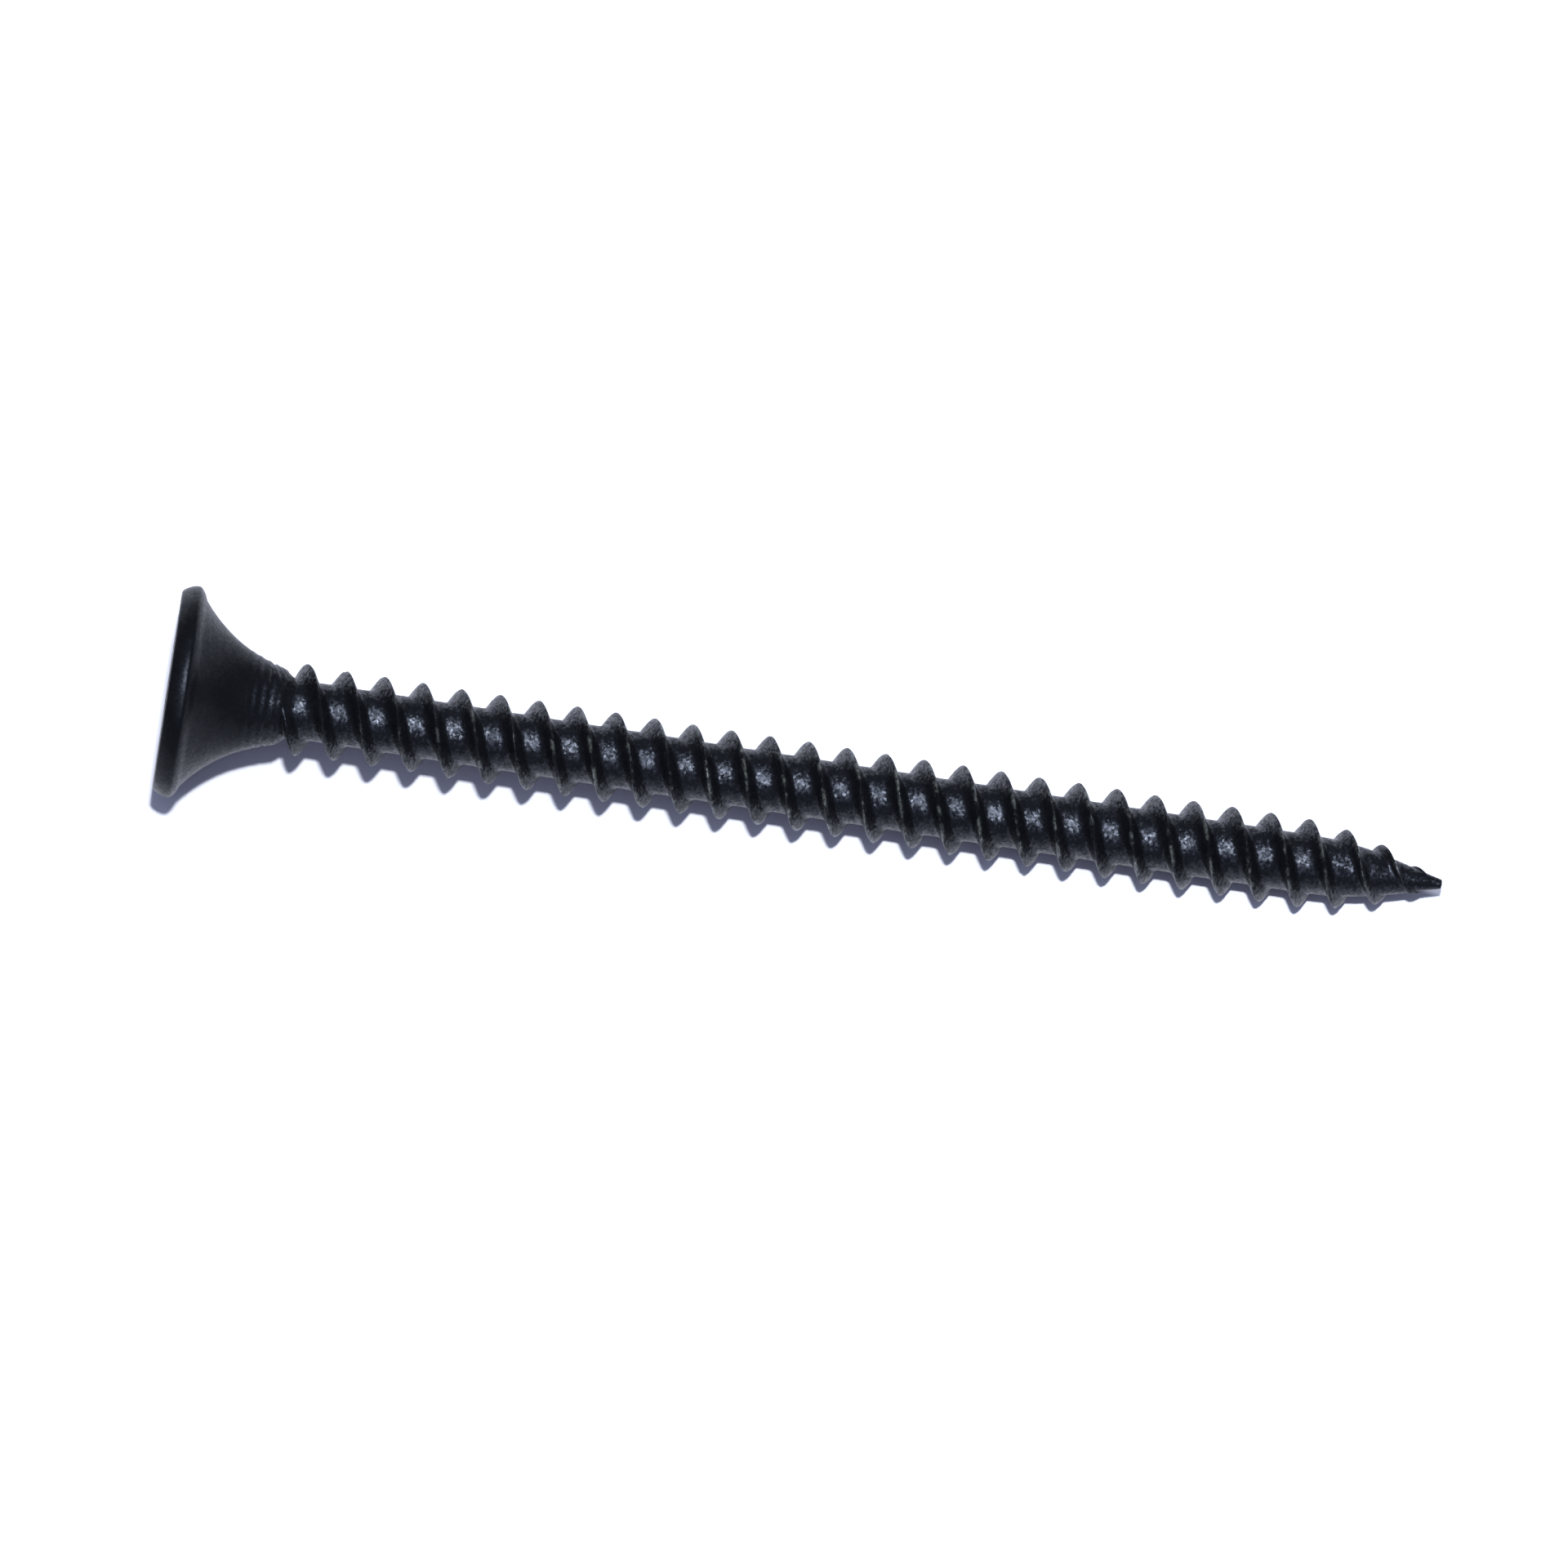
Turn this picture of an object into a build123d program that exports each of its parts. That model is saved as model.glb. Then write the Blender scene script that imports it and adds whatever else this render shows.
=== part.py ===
from build123d import *
import math
import os

# One bugle-head screw with a fine twin-start thread and a sharp point, millimetres.
# It lies along X: the flat face of its head is at x = 0 and its point at x = -length.

# ---- overall sizes
length = 50.0
head_diameter = 8.3
thread_diameter = 3.48

# ---- head: flat face, flared rim, trumpet-shaped underside down to the neck
rim_height = 0.68
rim_flare = 0.18
face_edge_round = 0.2
rim_edge_round = 0.12
bugle_radius = 5.0
neck_end = 4.3
neck_shoulder = 0.39
neck_step = 0.42
neck_spigot = 0.1

# ---- Phillips recess, size 2: four tapered wings round a core with a coned floor
wing_span = 4.6
wing_width = 1.15
wing_end_slope = 28.0
wing_side_slope = 4.0
wing_depth = 2.1
recess_core_diameter = 2.6
recess_core_slope = 12.0
recess_core_depth = 1.9
recess_cone_depth = 0.4

# ---- thread: equal right-hand ridges, spaced evenly round the core
starts = 2
crest_spacing = 1.513
first_crest = 5.115
thread_depth = 0.6
flank_angle = 27.0
crest_width = 0.05
crest_round = 0.12
root_round = 0.32
least_flank = 0.05
thread_lead_in = 1.1
crest_rise = 0.9
crest_rise_drop = 0.25

# ---- point: a cone that an arc joins to the core, and an arc over the crests
cone_length = 1.9
cone_half_angle = 15.0
tip_diameter = 0.3
crest_taper_length = 6.2
crest_taper_radius = 12.3

# ---- how finely the thread is drawn along one turn
steps_per_turn = 24

head_radius = head_diameter / 2
face_radius = head_radius - rim_flare
crest_radius = thread_diameter / 2
core_radius = crest_radius - thread_depth
neck_radius = core_radius + neck_shoulder
spigot_end = neck_end + neck_step
spigot_radius = core_radius - neck_spigot
wing_floor_span = wing_span - 2 * wing_depth * math.tan(math.radians(wing_end_slope))
wing_floor_width = wing_width - 2 * wing_depth * math.tan(math.radians(wing_side_slope))
recess_core_radius = recess_core_diameter / 2
recess_floor_radius = recess_core_radius - recess_core_depth * math.tan(math.radians(recess_core_slope))
tip_radius = tip_diameter / 2
lead = starts * crest_spacing
tan_flank = math.tan(math.radians(flank_angle))
full_width = thread_depth * tan_flank
crest_share = crest_round * math.cos(math.radians(flank_angle)) / thread_depth
root_share = root_round * math.cos(math.radians(flank_angle)) / thread_depth
tan_cone = math.tan(math.radians(cone_half_angle))
cone_start = length - cone_length
cone_radius = tip_radius + cone_length * tan_cone
ogive_radius = (core_radius - cone_radius) / (1 - math.cos(math.radians(cone_half_angle)))
ogive_start = cone_start - ogive_radius * math.sin(math.radians(cone_half_angle))
taper_start = length - crest_taper_length
thread_start = neck_end - thread_lead_in


def rounded(start, corner, stop):
    """The point halfway round a corner that is rounded off from start to stop."""
    return tuple((before + 2 * at + after) / 4 for before, at, after in zip(start, corner, stop))


def core_at(distance):
    """Radius of the core at a distance from the head's face."""
    if distance > cone_start:
        return tip_radius + (length - distance) * tan_cone
    past = max(0.0, distance - ogive_start)
    return core_radius - ogive_radius + math.sqrt(ogive_radius**2 - past**2)


def crest_at(distance):
    """Radius over the crests at a distance from the head's face."""
    past = max(0.0, distance - taper_start)
    over_crests = crest_radius - crest_taper_radius + math.sqrt(crest_taper_radius**2 - past**2)
    still_to_rise = min(1.0, max(0.0, 1 - (distance - neck_end) / crest_rise))
    return max(over_crests - crest_rise_drop * still_to_rise**2, core_at(distance))


def ridge_outline(distance):
    """Points across one ridge and the root after it: (offset from the crest, radius) pairs."""
    crest = crest_at(distance)
    core = core_at(distance)
    edge = crest_width / 2
    width = max((crest - core) * tan_flank, least_flank)
    foot = edge + width
    crest_stop = (edge + width * crest_share, crest - (crest - core) * crest_share)
    root_start = (foot - width * root_share, core + (crest - core) * root_share)
    root_stop = (foot + root_round * width / full_width, core)
    side = [
        (0, crest),
        rounded((0, crest), (edge, crest), crest_stop),
        crest_stop,
        root_start,
        rounded(root_start, (foot, core), root_stop),
        root_stop,
    ]
    return side + [(crest_spacing - offset, radius) for offset, radius in reversed(side[1:])]


def thread_section(distance):
    """The screw's outline across its axis at a distance from the head's face."""
    section = []
    for start in range(starts):
        for offset, radius in ridge_outline(distance):
            crest_line = first_crest + start * crest_spacing + offset
            angle = 2 * math.pi * (distance - crest_line) / lead
            section.append((-distance, -radius * math.cos(angle), radius * math.sin(angle)))
    return section


# Threaded shank and point: ruled faces between helical guide curves, closed by a flat at each end
steps = round((length - thread_start) / lead * steps_per_turn)
stations = [thread_start + (length - thread_start) * step / steps for step in range(steps + 1)]
sections = [thread_section(distance) for distance in stations]
guides = [Edge.make_spline(list(points)) for points in zip(*sections)]
sides = [Face.make_surface_from_curves(guides[side - 1], guides[side]) for side in range(len(guides))]
ends = [Face(Wire.make_polygon(sections[end])) for end in (0, -1)]
shank = Solid(Shell(sides + ends))

# Screw: the turned head and neck, the shank, and the Phillips recess cut into the face
with BuildPart() as screw:
    with BuildSketch(Plane.XZ) as outline:
        with BuildLine():
            Line((0, 0), (0, face_radius))
            Line((0, face_radius), (-rim_height, head_radius))
            RadiusArc((-rim_height, head_radius), (-neck_end, neck_radius), bugle_radius)
            Line((-neck_end, neck_radius), (-spigot_end, spigot_radius))
            Line((-spigot_end, spigot_radius), (-spigot_end, 0))
            Line((-spigot_end, 0), (0, 0))
        make_face()
        fillet(outline.vertices().group_by(Axis.Y)[-1], rim_edge_round)
        fillet(outline.vertices().group_by(Axis.X)[-1].sort_by(Axis.Y)[-1], face_edge_round)
    revolve(axis=Axis.X)
    add(shank)
    with BuildSketch(Plane.YZ):
        Rectangle(wing_span, wing_width)
        Rectangle(wing_width, wing_span)
    with BuildSketch(Plane.YZ.offset(-wing_depth)):
        Rectangle(wing_floor_span, wing_floor_width)
        Rectangle(wing_floor_width, wing_floor_span)
    loft(mode=Mode.SUBTRACT)
    with BuildSketch(Plane.XZ):
        with BuildLine():
            Polyline(
                (0, 0),
                (0, recess_core_radius),
                (-recess_core_depth, recess_floor_radius),
                (-recess_core_depth - recess_cone_depth, 0),
                close=True,
            )
        make_face()
    revolve(axis=Axis.X, mode=Mode.SUBTRACT)
screw.part.label = "screw"

os.makedirs("parts", exist_ok=True)
export_step(screw.part, "parts/screw.step")
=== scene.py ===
import math

import bmesh
import bpy
import numpy as np
from mathutils import Matrix, Vector, noise


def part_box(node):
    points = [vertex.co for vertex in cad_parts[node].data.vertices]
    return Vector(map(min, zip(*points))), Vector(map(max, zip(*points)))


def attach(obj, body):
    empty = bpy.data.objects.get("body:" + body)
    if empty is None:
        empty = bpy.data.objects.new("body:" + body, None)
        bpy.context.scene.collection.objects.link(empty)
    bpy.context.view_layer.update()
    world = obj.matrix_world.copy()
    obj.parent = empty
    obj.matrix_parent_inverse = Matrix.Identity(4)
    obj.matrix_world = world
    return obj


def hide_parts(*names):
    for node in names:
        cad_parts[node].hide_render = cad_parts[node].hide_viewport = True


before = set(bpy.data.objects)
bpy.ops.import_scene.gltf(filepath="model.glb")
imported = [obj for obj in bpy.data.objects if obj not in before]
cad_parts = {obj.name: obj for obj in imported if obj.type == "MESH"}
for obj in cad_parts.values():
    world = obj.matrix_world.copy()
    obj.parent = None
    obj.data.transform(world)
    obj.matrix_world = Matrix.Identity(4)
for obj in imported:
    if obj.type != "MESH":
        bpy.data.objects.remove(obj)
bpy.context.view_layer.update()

# ---------------------------------------------------------------------------------------------
# The screw. One piece of case-hardened steel wire: the bugle head and its cross recess are cold
# forged on the end, the twin-start thread and the point are rolled, and the whole is then
# phosphated black and oiled.

MM = 0.001
low, high = (np.array(corner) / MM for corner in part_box("screw"))
length = high[0] - low[0]
head_radius = (high[1] - low[1]) / 2


def wander(along, step, seed):
    """Smooth random values between -1 and 1 along a line, a new one every step."""
    values = np.random.default_rng(seed).uniform(-1, 1, 8192)
    place = np.asarray(along) / step + 64
    cell = np.floor(place).astype(int)
    part = place - cell
    part = part * part * (3 - 2 * part)
    return values[cell] * (1 - part) + values[cell + 1] * part


def smoothstep(value):
    """Eases from 0 to 1 as the value goes from 0 to 1."""
    value = np.clip(value, 0, 1)
    return value * value * (3 - 2 * value)


# Head: the forged outline of the rim and of the trumpet-shaped underside down to the neck, in mm.
# Distances run from the flat face towards the point.
rim_height = 0.68
bugle_radius = 5.8
neck_end = 4.3
neck_radius = 1.53
neck_step = 0.66
die_ring_start = 2.85
die_ring_first = 3.09
die_ring_spacing = 0.345
die_ring_height = 0.022
die_ring_fade_in, die_ring_fade_out = 0.5, 0.1
core_radius = 1.138
crest_radius = 1.75

chord = np.array([neck_end - rim_height, neck_radius - head_radius])
half_chord = np.linalg.norm(chord) / 2
rise = math.sqrt(bugle_radius**2 - half_chord**2) / (2 * half_chord)
chord_middle = np.array([rim_height + chord[0] / 2, head_radius + chord[1] / 2])
bugle_centre = chord_middle + rise * np.array([-chord[1], chord[0]])


def bugle_at(distance):
    """Radius of the underside, with the rings that the forging die leaves near the neck."""
    near = np.clip(distance, rim_height - 0.2, neck_end)
    rings = 0.5 + 0.5 * np.cos((near - die_ring_first) / die_ring_spacing * 2 * math.pi)
    rings = rings * smoothstep((near - die_ring_start) / die_ring_fade_in)
    rings = rings * smoothstep((neck_end - near) / die_ring_fade_out)
    arc = bugle_centre[1] - np.sqrt(bugle_radius**2 - (near - bugle_centre[0]) ** 2)
    return arc + die_ring_height * rings


# Point: a 30 degree cone that an arc joins to the core, with the crests falling in an arc too
cone_length = 1.9
cone_half_angle = math.radians(15)
tip_radius = 0.17
crest_taper = 6.2
crest_taper_radius = 12.3
last_crest_start = 2.4
last_crest_fade = 1.2
last_crest_drop = 0.06
cone_start = length - cone_length
cone_radius = tip_radius + cone_length * math.tan(cone_half_angle)
ogive_radius = (core_radius - cone_radius) / (1 - math.cos(cone_half_angle))
ogive_start = cone_start - ogive_radius * math.sin(cone_half_angle)

# Start of the thread: the ridges rise out of the neck and are tallest just past it
crest_rise = 0.8
crest_rise_drop = 0.42
tall_crest = 5.3
tall_crest_spread = 0.7
tall_crest_extra = 0.06


def body_at(distance):
    """Radius of the bare body behind the head, with no thread on it."""
    past = np.clip(distance - ogive_start, 0, cone_start - ogive_start)
    core = core_radius - ogive_radius + np.sqrt(ogive_radius**2 - past**2)
    cone = tip_radius + (length - distance) * math.tan(cone_half_angle)
    core = np.where(distance > cone_start, cone, core)
    step = smoothstep((distance - neck_end) / neck_step)
    return bugle_at(distance) * (1 - step) + core * step


def crest_at(distance):
    """Radius over the crests, which is less than the body's where there is no ridge yet."""
    past = np.clip(distance - length + crest_taper, 0, crest_taper)
    over_crests = crest_radius - crest_taper_radius + np.sqrt(crest_taper_radius**2 - past**2)
    last = last_crest_drop * smoothstep((distance - length + last_crest_start) / last_crest_fade)
    start = crest_rise_drop * (1 - smoothstep((distance - neck_end) / crest_rise))
    tall = tall_crest_extra * np.exp(-(((distance - tall_crest) / tall_crest_spread) ** 2))
    return over_crests - last - start + tall


# Thread: two right-hand ridges half a turn apart. The foot of each ridge is rounded more on its
# side towards the head.
starts = 2
crest_spacing = 1.5115
lead = starts * crest_spacing
first_crest = 5.115
flank_angle = math.radians(27)
crest_edge = 0.025
crest_round = 0.12
foot_rounds = (0.14, 0.26)
least_flank = 0.05
full_depth = crest_radius - core_radius
full_flank = full_depth * math.tan(flank_angle)
crest_share = crest_round * math.cos(flank_angle) / full_depth
stations_per_turn = 60
worn_width = 0.06
worn_from = 5.5


def bend(before, corner, after, count):
    """Points along a rounded corner."""
    share = np.linspace(0, 1, count)[:, None]
    before, corner, after = np.array(before), np.array(corner), np.array(after)
    return (1 - share) ** 2 * before + 2 * share * (1 - share) * corner + share**2 * after


def ridge_outline(distance):
    """Points across one ridge and the root after it: offset from the crest, height as a share."""
    depth = float(crest_at(distance) - body_at(distance))
    width = max(depth * math.tan(flank_angle), least_flank)
    foot = crest_edge + width
    crest_stop = (crest_edge + width * crest_share, 1 - crest_share)
    sides = []
    for root_round in foot_rounds:
        root_share = root_round * math.cos(flank_angle) / full_depth
        root_start = (foot - width * root_share, root_share)
        root_stop = (foot + root_round * width / full_flank, 0)
        crest_curve = bend((0, 1), (crest_edge, 1), crest_stop, 6)
        flank = np.linspace(crest_stop, root_start, 5)[1:-1]
        root_curve = bend(root_start, (foot, 0), root_stop, 7)
        root_flat = np.linspace(root_stop, (crest_spacing / 2, 0), 4)[1:]
        sides.append(np.concatenate([crest_curve, flank, root_curve, root_flat]))
    before_next = sides[1][::-1][1:-1] * (-1, 1) + (crest_spacing, 0)
    return np.concatenate([sides[0], before_next]).T


def ring_at(distance, angles, radius):
    """One ring of points round the axis. The angle is 0 towards -Y, a quarter turn towards +Z."""
    along_axis = np.full_like(angles, -distance)
    return np.stack([along_axis, -radius * np.cos(angles), radius * np.sin(angles)], axis=1)


def worn_at(distance, from_crest):
    """How much the coat may be rubbed off: only the crests, least near the neck and the point."""
    on_crest = np.clip(1.6 - np.abs(from_crest) / worn_width, 0, 1)
    past_neck = 0.25 + 0.75 * smoothstep((distance - worn_from - 1.5) / 10)
    past_neck = past_neck * smoothstep((distance - worn_from) / 2)
    before_point = 0.35 + 0.65 * smoothstep((length - distance) / 12)
    return on_crest * past_neck * before_point


# Small nicks that the crests pick up in the barrel: place, turn, reach, depth
nick_count = 90
nick_reach = (0.10, 0.24)
nick_depth = (0.02, 0.09)
nick_limit = 0.7
rng = np.random.default_rng(18)
nicks = []
for _ in range(nick_count):
    place, at_turn = rng.uniform(4.6, length - 3), rng.uniform(0, 1)
    nicks.append((place, at_turn, rng.uniform(*nick_reach), rng.uniform(*nick_depth)))

# Shank: one ring of points across the thread at each station along the axis
shank_start = neck_end - 0.4
shank_end = length - 0.03
crest_girth = 2 * math.pi * crest_radius
long_waves, short_waves = 0.014, 0.010
lip_height, lip_place, lip_width = 0.045, 0.085, 0.035
seam_depth, seam_place, seam_width = 0.04, 0.02, 0.025
full_ridge = 0.3
# each ridge reads its own stretch of the random lines
stretch_start, stretch_apart = 400, 700
stations = np.arange(shank_start, shank_end, lead / stations_per_turn)
thread_rings, wear = [], []
for distance in np.append(stations, shank_end):
    offsets, heights = ridge_outline(distance)
    from_crest = np.where(offsets > crest_spacing / 2, offsets - crest_spacing, offsets)
    body = float(body_at(distance))
    depth = max(float(crest_at(distance)) - body, 0)
    crest_lines = [first_crest + start * crest_spacing + offsets for start in range(starts)]
    turns = (distance - np.concatenate(crest_lines)) / lead
    from_crest, heights = np.tile(from_crest, starts), np.tile(heights, starts)
    # the crest's height wanders, and metal folded over by the rolling leaves a lip and a seam
    ridge = np.repeat(np.arange(starts), len(offsets))
    along = turns * crest_girth + ridge * stretch_apart + stretch_start
    uneven = long_waves * wander(along, 2.3, 3) + short_waves * wander(along, 0.6, 5)
    lip = lip_height * np.clip(0.35 + wander(along, 1.9, 9), 0, 1)
    lip = lip * np.exp(-(((from_crest - lip_place) / lip_width) ** 2))
    seam = seam_depth * np.clip(0.2 + wander(along, 1.1, 11), 0, 1)
    seam = seam * np.exp(-(((from_crest - seam_place) / seam_width) ** 2))
    full = min(depth / full_ridge, 1)
    radius = body + depth * heights + heights**3 * full * (uneven + lip - seam)
    for place, at_turn, reach, deep in nicks:
        if abs(distance - place) < nick_limit:
            apart = (turns - at_turn + 0.5) % 1 - 0.5
            away = np.hypot(distance - place, apart * crest_girth) / reach
            radius = radius - deep * np.exp(-(away**2)) * heights**2
    thread_rings.append(ring_at(distance, 2 * math.pi * turns, radius))
    wear.append(worn_at(distance, from_crest))
thread_points = len(thread_rings[0])

# Rim and underside: rings at even angles, from the rounded edge of the face to the shank
head_points = 180
angles = np.arange(head_points) / head_points * 2 * math.pi
face_edge = (0, head_radius - 0.33)
face_corner = (0, head_radius - 0.23)
rim_start = (0.12, head_radius - 0.165)
rim_bulge = (0.4, head_radius + 0.03)
rim_top = (rim_height - 0.02, head_radius + 0.015)
rim_corner = (rim_height + 0.08, head_radius + 0.01)
rim_back = (rim_height + 0.25, head_radius - 0.27)
underside_start = 1.02
fine_start = 2.7
underside = np.linspace(underside_start, fine_start, 22)
underside = np.append(underside, np.linspace(fine_start, shank_start, 30)[1:-1])
head_outline = np.concatenate([
    bend(face_edge, face_corner, rim_start, 6),
    bend(rim_start, rim_bulge, rim_top, 7)[1:],
    bend(rim_top, rim_corner, rim_back, 7)[1:],
    np.stack([underside, bugle_at(underside)], axis=1),
])
# a few flats and dents round the rim from tumbling against other screws
dent_depth = 0.02
dent_reach = 0.35
struck = wander(np.cos(angles) * 4 + 40, 0.9, 21) + wander(np.sin(angles) * 4 + 60, 0.9, 23)
dents = dent_depth * np.clip(struck - 0.3, 0, 1)
head_rings = []
for distance, radius in head_outline:
    near_rim = smoothstep(1 - abs(distance - rim_height) / dent_reach)
    head_rings.append(ring_at(distance, angles, radius - near_rim * dents))

# Face: the cross recess, its wings and coned floor, and the flat out to the edge
wing_span, wing_width = 4.6, 1.15
wing_end_slope, wing_side_slope = math.tan(math.radians(28)), math.tan(math.radians(4))
recess_radius, recess_slope = 1.3, math.tan(math.radians(12))
recess_depth, recess_cone = 1.9, 0.4
recess_blend = 0.06
recess_lip = 0.012
face_inset = 0.05


def recess_outline(depth):
    """Distance from the axis to the recess wall all round: four wings and the round core."""
    reach = wing_span / 2 - depth * wing_end_slope
    half = wing_width / 2 - depth * wing_side_slope
    fold = np.abs((angles + math.pi / 4) % (math.pi / 2) - math.pi / 4)
    wing = np.minimum(reach / np.cos(fold), half / np.maximum(np.sin(fold), 1e-6))
    core = recess_radius - depth * recess_slope
    return (wing + core + np.sqrt((wing - core) ** 2 + recess_blend**2)) / 2


core_floor = recess_radius - recess_depth * recess_slope
face_rings = []
for share in (0.04, 0.2, 0.45, 0.7, 0.9):
    face_rings.append(ring_at(recess_depth + recess_cone * (1 - share), angles, core_floor * share))
for depth in recess_depth * np.linspace(1, 0.02, 16):
    face_rings.append(ring_at(depth, angles, recess_outline(depth)))
recess_edge = recess_outline(0.0)
flat_width = head_outline[0][1] - face_inset - recess_edge
for share, sink in ((0.012, recess_lip), (0.04, 0.0), (0.1, 0.0), (0.3, 0.0), (0.6, 0.0), (1.0, 0.0)):
    face_rings.append(ring_at(sink, angles, recess_edge + flat_width * share))

points = np.concatenate(face_rings + head_rings + thread_rings)
ring_count = len(face_rings) + len(head_rings)
head_count = ring_count * head_points


def quads(first, size, count):
    """Four-sided faces between neighbouring rings of one size, from the first point on."""
    index = np.arange(size)
    here = first + np.arange(count - 1)[:, None] * size + index
    on = first + np.arange(count - 1)[:, None] * size + (index + 1) % size
    return np.stack([here, on, on + size, here + size], axis=-1).reshape(-1, 4).tolist()


def join_rings(first, first_size, second, second_size):
    """Triangles between two flat rings with different numbers of points, walked round by angle."""
    rings = ((first, first_size), (second, second_size))
    turns = [np.arctan2(points[f:f + n, 2], -points[f:f + n, 1]) % (2 * math.pi) for f, n in rings]
    orders = [np.argsort(turn) for turn in turns]
    ids = [first + orders[0], second + orders[1]]
    steps = sorted((turn, side, i) for side in (0, 1) for i, turn in enumerate(np.sort(turns[side])))
    at = [-1, -1]
    joined = []
    for _, side, i in steps:
        other = 1 - side
        joined.append([int(ids[side][at[side]]), int(ids[side][i]), int(ids[other][at[other]])])
        at[side] = i
    return joined


faces = quads(0, head_points, ring_count) + quads(head_count, thread_points, len(thread_rings))
faces += join_rings(head_count - head_points, head_points, head_count, thread_points)
recess_bottom = len(points)
tip = recess_bottom + 1
last_ring = recess_bottom - thread_points
points = np.concatenate([points, [[-(recess_depth + recess_cone), 0, 0], [-length, 0.02, 0.03]]])
faces += [[(i + 1) % head_points, i, recess_bottom] for i in range(head_points)]
faces += [[last_ring + i, last_ring + (i + 1) % thread_points, tip] for i in range(thread_points)]

# Forging and tumbling leave the surface slightly uneven
radial = points * [0, 1, 1]
radial /= np.maximum(np.linalg.norm(radial, axis=1, keepdims=True), 1e-6)
large_lump, small_lump = 0.012, 0.005
large_per_mm, small_per_mm = 0.8, 2.6
lumps = []
for point in points:
    large = large_lump * noise.noise(Vector(point) * large_per_mm)
    small = small_lump * noise.noise(Vector(point) * small_per_mm + Vector((7, 0, 0)))
    lumps.append(large + small)
points = points + radial * np.array(lumps)[:, None]

mesh = bpy.data.meshes.new("bugle_screw")
mesh.from_pydata((points * MM).tolist(), [], faces)
worn = np.concatenate([np.zeros(head_count), *wear, [0, 0.3]])
crest_wear = mesh.attributes.new("crest_wear", "FLOAT", "POINT")
crest_wear.data.foreach_set("value", worn.astype(np.float32))
shell = bmesh.new()
shell.from_mesh(mesh)
bmesh.ops.recalc_face_normals(shell, faces=shell.faces)
shell.to_mesh(mesh)
shell.free()
mesh.shade_smooth()
mesh.set_sharp_from_angle(angle=math.radians(50))
screw = bpy.data.objects.new("bugle_screw", mesh)
bpy.context.scene.collection.objects.link(screw)


def linear(hex_colour):
    """An sRGB hex colour as the linear values that a shader takes."""
    parts = [int(hex_colour[i:i + 2], 16) / 255 for i in (1, 3, 5)]
    return [c / 12.92 if c <= 0.04045 else ((c + 0.055) / 1.055) ** 2.4 for c in parts] + [1.0]


def node(tree, kind, settings=None, **inputs):
    """Adds a node with its settings, and sets or links its inputs (i0, i1... by number)."""
    made = tree.nodes.new(kind)
    for name, value in (settings or {}).items():
        setattr(made, name, value)
    for name, value in inputs.items():
        numbered = name[1:].isdigit()
        socket = made.inputs[int(name[1:]) if numbered else name.replace("_", " ")]
        if isinstance(value, bpy.types.NodeSocket):
            tree.links.new(value, socket)
        else:
            socket.default_value = value
    return made


# Black zinc phosphate, oiled. Its crystals lie at all angles and each throws its own glint, so the
# highlight breaks into specks. They are a few hundredths of a millimetre and are drawn at 0.09 mm,
# so that they show. The coat is smoother and duller on the head than on the thread, and the crests
# are rubbed through to grey in places.
crystals_per_mm, grains_per_mm, patches_per_mm = 11.0, 7.0, 1.3
head_coat_end, thread_coat_start = -3.0, -5.0
head_lean_share, thread_lean_share = 0.10, 0.33
head_gloss, thread_gloss, worn_gloss = 0.08, 0.20, 1.0

phosphate = bpy.data.materials.new("black_phosphated_steel")
phosphate.use_nodes = True
tree = phosphate.node_tree
tree.nodes.clear()
position = node(tree, "ShaderNodeTexCoord").outputs["Object"]
scaled = node(tree, "ShaderNodeVectorMath", {"operation": "SCALE"}, i0=position, Scale=1 / MM)
in_mm = scaled.outputs[0]
grain = node(
    tree, "ShaderNodeTexNoise", Vector=in_mm, Scale=grains_per_mm, Detail=4.0, Roughness=0.65
).outputs[0]
patches = node(
    tree, "ShaderNodeTexNoise", Vector=in_mm, Scale=patches_per_mm, Detail=4.0, Roughness=0.6
).outputs[0]
crystals = node(
    tree, "ShaderNodeTexVoronoi", {"feature": "F1"}, Vector=in_mm, Scale=crystals_per_mm
).outputs["Color"]
lean = node(
    tree, "ShaderNodeVectorMath", {"operation": "SUBTRACT"}, i0=crystals, i1=(0.5, 0.5, 0.5)
).outputs[0]
along_screw = node(tree, "ShaderNodeSeparateXYZ", Vector=in_mm).outputs[0]
lean_share = node(
    tree, "ShaderNodeMapRange", i0=along_screw,
    i1=head_coat_end, i2=thread_coat_start, i3=head_lean_share, i4=thread_lean_share,
).outputs[0]
spread = node(tree, "ShaderNodeCombineXYZ", i0=lean_share, i1=lean_share, i2=lean_share).outputs[0]
lumpy = node(tree, "ShaderNodeBump", Strength=1.0, Distance=0.000004, Height=grain).outputs[0]
facing = node(
    tree, "ShaderNodeVectorMath", {"operation": "MULTIPLY_ADD"}, i0=lean, i1=spread, i2=lumpy
).outputs[0]
facet = node(tree, "ShaderNodeVectorMath", {"operation": "NORMALIZE"}, i0=facing).outputs[0]
rough = node(tree, "ShaderNodeMapRange", i0=grain, i1=0.35, i2=0.65, i3=0.30, i4=0.42).outputs[0]
dark = node(
    tree, "ShaderNodeMix", {"data_type": "RGBA"}, i0=patches, i6=linear("#050608"), i7=linear("#0b0c0e")
).outputs[2]
crest = node(tree, "ShaderNodeAttribute", {"attribute_name": "crest_wear"}).outputs["Fac"]
scuffs = node(tree, "ShaderNodeMapRange", i0=patches, i1=0.48, i2=0.57).outputs[0]
specks = node(tree, "ShaderNodeMapRange", i0=grain, i1=0.38, i2=0.55).outputs[0]
scuffed = node(tree, "ShaderNodeMath", {"operation": "MULTIPLY"}, i0=scuffs, i1=specks).outputs[0]
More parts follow.
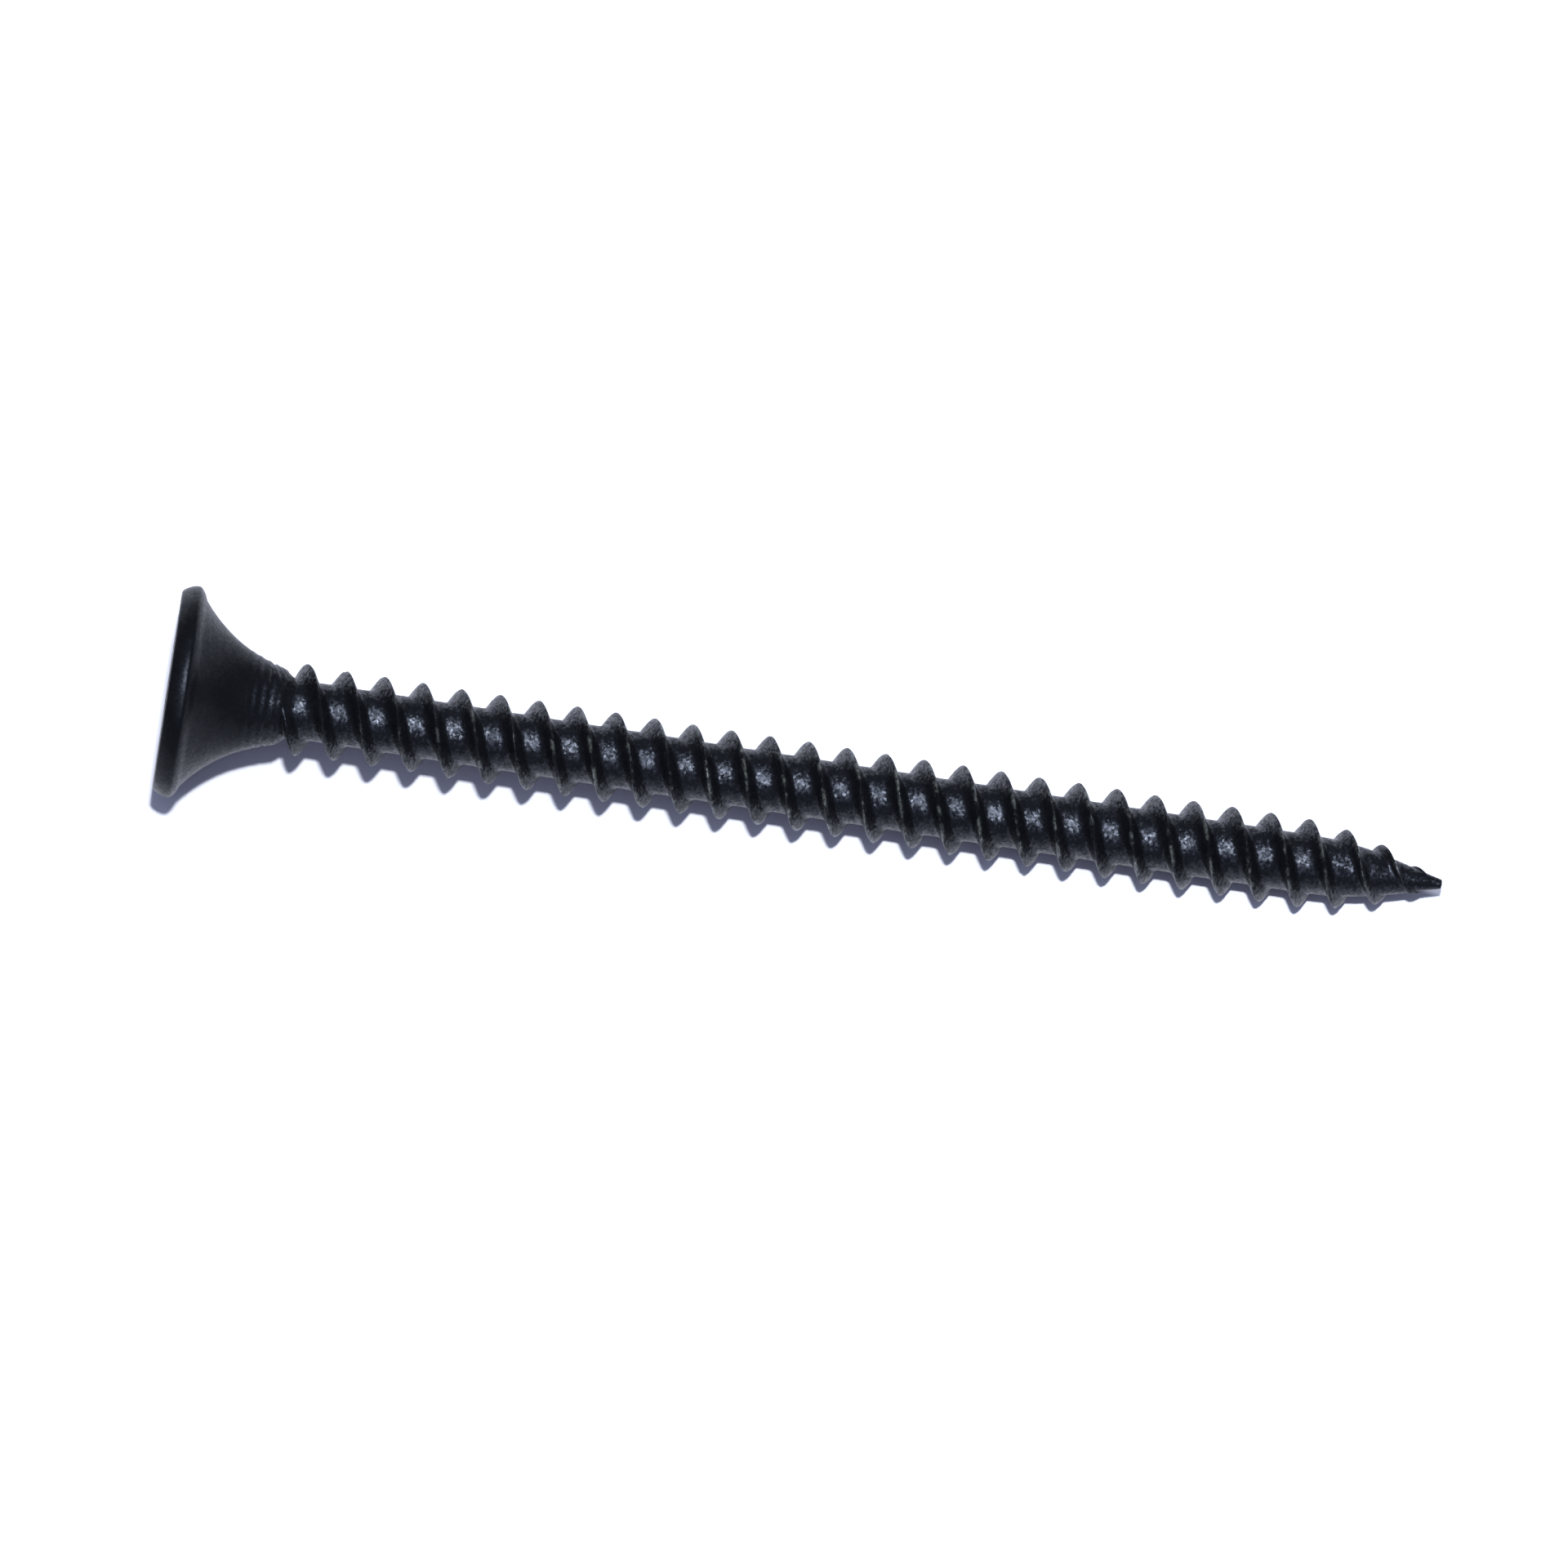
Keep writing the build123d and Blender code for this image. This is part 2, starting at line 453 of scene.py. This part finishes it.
rubbed = node(tree, "ShaderNodeMath", {"operation": "MULTIPLY"}, i0=crest, i1=scuffed).outputs[0]
colour = node(
    tree, "ShaderNodeMix", {"data_type": "RGBA"}, i0=rubbed, i6=dark, i7=linear("#3c3f39")
).outputs[2]
coat_gloss = node(
    tree, "ShaderNodeMapRange", i0=lean_share,
    i1=head_lean_share, i2=thread_lean_share, i3=head_gloss, i4=thread_gloss,
).outputs[0]
gloss = node(tree, "ShaderNodeMapRange", i0=rubbed, i3=coat_gloss, i4=worn_gloss).outputs[0]
finish = node(
    tree, "ShaderNodeBsdfPrincipled", Base_Color=colour, Roughness=rough, Metallic=0.0, IOR=1.5,
    Specular_IOR_Level=gloss, Specular_Tint=linear("#e4eeff"), Normal=facet,
)
node(tree, "ShaderNodeOutputMaterial", Surface=finish.outputs[0])
mesh.materials.append(phosphate)

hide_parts("screw")
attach(screw, "root")

# ---------------------------------------------------------------------------------------------
# The white sheet that the screw lies on. It touches the rim of the head and the last full crests,
# so it rises a little towards the point.
last_crests = np.linspace(40, length - 2, 80)
clearance = head_radius - crest_at(last_crests)
sheet_slope = float(np.min(clearance / (last_crests - rim_height)))
half_sheet = 0.6
corners = [(x * half_sheet, y * half_sheet, 0) for x, y in ((-1, -1), (1, -1), (1, 1), (-1, 1))]
sheet_mesh = bpy.data.meshes.new("white_sheet")
sheet_mesh.from_pydata(corners, [], [(0, 1, 2, 3)])
sheet = bpy.data.objects.new("white_sheet", sheet_mesh)
sheet.location = Vector((-rim_height, 0, -head_radius)) * MM
sheet.rotation_euler = (0, math.atan(sheet_slope), 0)
bpy.context.scene.collection.objects.link(sheet)
# Matte paper
paper = bpy.data.materials.new("matte_white_paper")
paper.use_nodes = True
tree = paper.node_tree
tree.nodes.clear()
matte = node(
    tree, "ShaderNodeBsdfPrincipled", Base_Color=linear("#bebfc2"), Roughness=0.9, Specular_IOR_Level=0.1
)
node(tree, "ShaderNodeOutputMaterial", Surface=matte.outputs[0])
sheet_mesh.materials.append(paper)

# ---------------------------------------------------------------------------------------------
# Camera: above the screw and a little to its +Y side. It sees the head on the left and the axis
# falling to the right.
middle = Vector((-length / 2, 0, 0)) * MM
axis_fall = math.radians(8.7014)
head_lean = math.radians(1.7)
from_above = math.radians(16)
camera_distance = 1.0
view_width = 1.2153 * length * MM
aim_right, aim_up = -0.01637 * length * MM, 0.00236 * length * MM

towards_camera = Vector((0, math.sin(from_above), math.cos(from_above)))
upward = Vector((0, -math.cos(from_above), math.sin(from_above)))
along_axis = Vector((-1, 0, 0)) * math.cos(head_lean) + towards_camera * math.sin(head_lean)
right = along_axis * math.cos(axis_fall) + upward * math.sin(axis_fall)
up = upward * math.cos(axis_fall) - along_axis * math.sin(axis_fall)
back = right.cross(up)
lens = bpy.data.cameras.new("camera")
lens.sensor_width = 36.0
lens.lens = lens.sensor_width * camera_distance / view_width
lens.clip_start, lens.clip_end = 0.01, 10.0
camera = bpy.data.objects.new("camera", lens)
aim = middle + right * aim_right + up * aim_up
turned = Matrix((right, up, back)).transposed().to_4x4()
camera.matrix_world = Matrix.Translation(aim + back * camera_distance) @ turned
bpy.context.scene.collection.objects.link(camera)
bpy.context.scene.camera = camera

# ---------------------------------------------------------------------------------------------
# Studio: a small soft lamp overhead throws the crisp shadow just below the screw. A larger, weaker
# softbox stands further over to the far side, and a very wide one fills the shadow. The room is
# dim and cool.


lamp_distance = 0.8


def soft_light(name, tilt, width, side, power, colour):
    """A rectangular light over the screw, tilted from the camera's line of sight to the far side."""
    lamp = bpy.data.lights.new(name, "AREA")
    lamp.shape = "RECTANGLE"
    lamp.size, lamp.size_y = width, side
    lamp.energy = power
    lamp.color = linear(colour)[:3]
    light = bpy.data.objects.new(name, lamp)
    towards = back * math.cos(tilt) + upward * math.sin(tilt)
    light.location = middle + towards * lamp_distance
    across = upward * math.cos(tilt) - back * math.sin(tilt)
    light.rotation_euler = Matrix((across.cross(towards), across, towards)).transposed().to_euler()
    bpy.context.scene.collection.objects.link(light)


soft_light("overhead_lamp", math.radians(11.5), 0.038, 0.03, power=12.2, colour="#f4f7ff")
soft_light("far_softbox", math.radians(26), 0.12, 0.12, power=3.4, colour="#eef3ff")
soft_light("wide_softbox", math.radians(8), 0.9, 0.9, power=4.6, colour="#ccd5ff")

room = bpy.data.worlds.new("room")
room.use_nodes = True
room.node_tree.nodes["Background"].inputs["Color"].default_value = linear("#e0daff")
room.node_tree.nodes["Background"].inputs["Strength"].default_value = 0.09
bpy.context.scene.world = room
bpy.context.scene.view_settings.view_transform = "Standard"
